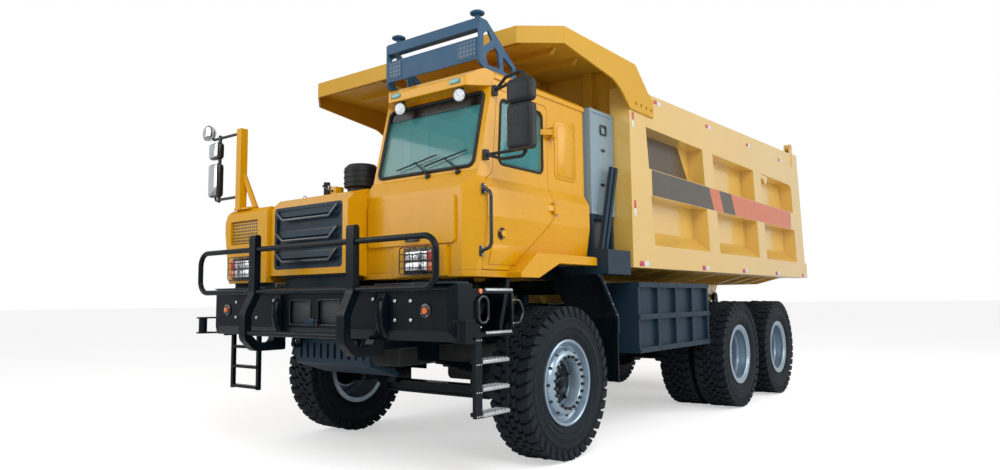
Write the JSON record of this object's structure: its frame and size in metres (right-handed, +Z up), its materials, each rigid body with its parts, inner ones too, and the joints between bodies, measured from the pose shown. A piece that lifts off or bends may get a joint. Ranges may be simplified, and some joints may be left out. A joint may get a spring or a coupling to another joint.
{
  "type": "mining dump truck",
  "caption": "Yellow mining dump truck with an offset cab, bull bar, roof sensor rack and a canopied tipping bed",
  "frame": {"origin": "on the floor under the middle of the truck's overall footprint", "axes": "X to the truck's left, Y to its rear, Z up"},
  "size_m": [4.2999, 10.28, 4.3559],
  "materials": {
    "cab_yellow": "gloss",
    "bed_yellow": "satin",
    "dark_paint": "satin",
    "blue_grey_paint": "satin",
    "light_grey_paint": "satin",
    "engine_grey": "rough",
    "rim_silver": "satin",
    "bare_steel": "brushed",
    "tyre_rubber": "matte",
    "black_plastic": "matte",
    "lamp_lens": "gloss",
    "seat_cloth": "matte",
    "window_glass": "clear"
  },
  "bodies": {
    "chassis": {"chassis_frame": "dark_paint", "front_bumper": "dark_paint", "bull_bar": "dark_paint", "skid_guard": "blue_grey_paint", "front_axle": "dark_paint", "rear_axles": "dark_paint", "leaf_springs": "dark_paint", "engine": "engine_grey", "propeller_shafts": "dark_paint", "engine_hood": "cab_yellow", "grille": "black_plastic", "right_front_housing": "cab_yellow", "air_cleaner": "black_plastic", "right_mirrors": "cab_yellow", "left_mirrors": "black_plastic", "cab_floor": "cab_yellow", "cab_front": "cab_yellow", "cab_left_side": "cab_yellow", "cab_right_side": "cab_yellow", "cab_rear": "cab_yellow", "cab_roof": "cab_yellow", "cab_glass": "window_glass", "driver_seat": "seat_cloth", "dashboard": "black_plastic", "sensor_rack": "blue_grey_paint", "headlamps": "lamp_lens", "boarding_steps": "dark_paint", "front_mudguards": "blue_grey_paint", "side_tanks": "blue_grey_paint", "rear_deck": "blue_grey_paint", "equipment_cabinet": "light_grey_paint"},
    "left_door": {"left_door": "cab_yellow", "left_door_window": "window_glass"},
    "steering_wheel": {"steering_wheel": "black_plastic"},
    "left_knuckle": {"left_knuckle": "dark_paint"},
    "right_knuckle": {"right_knuckle": "dark_paint"},
    "tie_rod": {"tie_rod": "bare_steel"},
    "bed": {"bed_floor": "bed_yellow", "bed_left_wall": "bed_yellow", "bed_right_wall": "bed_yellow", "bed_headboard": "bed_yellow", "bed_canopy": "bed_yellow"},
    "tailgate": {"tailgate": "bed_yellow"},
    "hoist_barrels": {"hoist_barrels": "dark_paint"},
    "hoist_stage_1": {"hoist_stage_1": "bare_steel"},
    "hoist_stage_2": {"hoist_stage_2": "bare_steel"},
    "front_left_wheel": {"front_left_tyre": "tyre_rubber", "front_left_rim": "rim_silver"},
    "front_right_wheel": {"front_right_tyre": "tyre_rubber", "front_right_rim": "rim_silver"},
    "middle_left_wheel": {"middle_left_tyres": "tyre_rubber", "middle_left_rims": "rim_silver"},
    "middle_right_wheel": {"middle_right_tyres": "tyre_rubber", "middle_right_rims": "rim_silver"},
    "rear_left_wheel": {"rear_left_tyres": "tyre_rubber", "rear_left_rims": "rim_silver"},
    "rear_right_wheel": {"rear_right_tyres": "tyre_rubber", "rear_right_rims": "rim_silver"}
  },
  "joints": [
    {"name": "steer_left", "type": "hinge", "parent": "chassis", "child": "left_knuckle", "pos_m": [1.22, -3.11, 0.745], "axis": [0, 0, 1], "range_deg": [-32, 32]},
    {"name": "steer_right", "type": "hinge", "parent": "chassis", "child": "right_knuckle", "pos_m": [-1.22, -3.11, 0.745], "axis": [0, 0, 1], "range_deg": [-33, 33]},
    {"name": "tie_rod_swing", "type": "hinge", "parent": "left_knuckle", "child": "tie_rod", "pos_m": [1.22, -2.81, 0.571], "axis": [0, 0, 1], "range_deg": [-33, 33]},
    {"name": "steering_wheel_turn", "type": "hinge", "parent": "chassis", "child": "steering_wheel", "pos_m": [0.96, -3.75, 2.47], "axis": [0, 0.5446, 0.8387], "range_deg": [-390, 390]},
    {"name": "left_door_hinge", "type": "hinge", "parent": "chassis", "child": "left_door", "pos_m": [1.665, -3.25, 2.6], "axis": [0, 0, 1], "range_deg": [0, 70]},
    {"name": "bed_tip", "type": "hinge", "parent": "chassis", "child": "bed", "pos_m": [0, 3.99, 1.56], "axis": [-1, 0, 0], "range_deg": [0, 45]},
    {"name": "tailgate_hinge", "type": "hinge", "parent": "bed", "child": "tailgate", "pos_m": [0, 4.58976, 4.296], "axis": [1, 0, 0], "range_deg": [0, 60]},
    {"name": "hoist_tilt", "type": "hinge", "parent": "chassis", "child": "hoist_barrels", "pos_m": [0, 2.12, 0.6], "axis": [-1, 0, 0], "range_deg": [-1, 23.5]},
    {"name": "hoist_slide_1", "type": "slide", "parent": "hoist_barrels", "child": "hoist_stage_1", "axis": [0, -0.179, 0.9839], "range_m": [0, 0.7244]},
    {"name": "hoist_slide_2", "type": "slide", "parent": "hoist_stage_1", "child": "hoist_stage_2", "axis": [0, -0.179, 0.9839], "range_m": [0, 0.7244]},
    {"name": "front_left_spin", "type": "hinge", "parent": "left_knuckle", "child": "front_left_wheel", "pos_m": [1.502, -3.11, 0.745], "axis": [1, 0, 0], "continuous": true},
    {"name": "front_right_spin", "type": "hinge", "parent": "right_knuckle", "child": "front_right_wheel", "pos_m": [-1.502, -3.11, 0.745], "axis": [1, 0, 0], "continuous": true},
    {"name": "middle_left_spin", "type": "hinge", "parent": "chassis", "child": "middle_left_wheel", "pos_m": [1.445, 1.21, 0.745], "axis": [1, 0, 0], "continuous": true},
    {"name": "middle_right_spin", "type": "hinge", "parent": "chassis", "child": "middle_right_wheel", "pos_m": [-1.445, 1.21, 0.745], "axis": [1, 0, 0], "continuous": true},
    {"name": "rear_left_spin", "type": "hinge", "parent": "chassis", "child": "rear_left_wheel", "pos_m": [1.445, 3.01, 0.745], "axis": [1, 0, 0], "continuous": true},
    {"name": "rear_right_spin", "type": "hinge", "parent": "chassis", "child": "rear_right_wheel", "pos_m": [-1.445, 3.01, 0.745], "axis": [1, 0, 0], "continuous": true}
  ],
  "couplings": [
    {"joint": "steer_right", "follows": "steer_left", "ratio": 1},
    {"joint": "tie_rod_swing", "follows": "steer_left", "ratio": -1},
    {"joint": "steering_wheel_turn", "follows": "steer_left", "ratio": 12},
    {"joint": "hoist_tilt", "follows": "bed_tip", "ratio": 0.5},
    {"joint": "hoist_slide_1", "follows": "bed_tip", "m_per_rad": 0.92105},
    {"joint": "hoist_slide_2", "follows": "bed_tip", "m_per_rad": 0.92105}
  ]
}
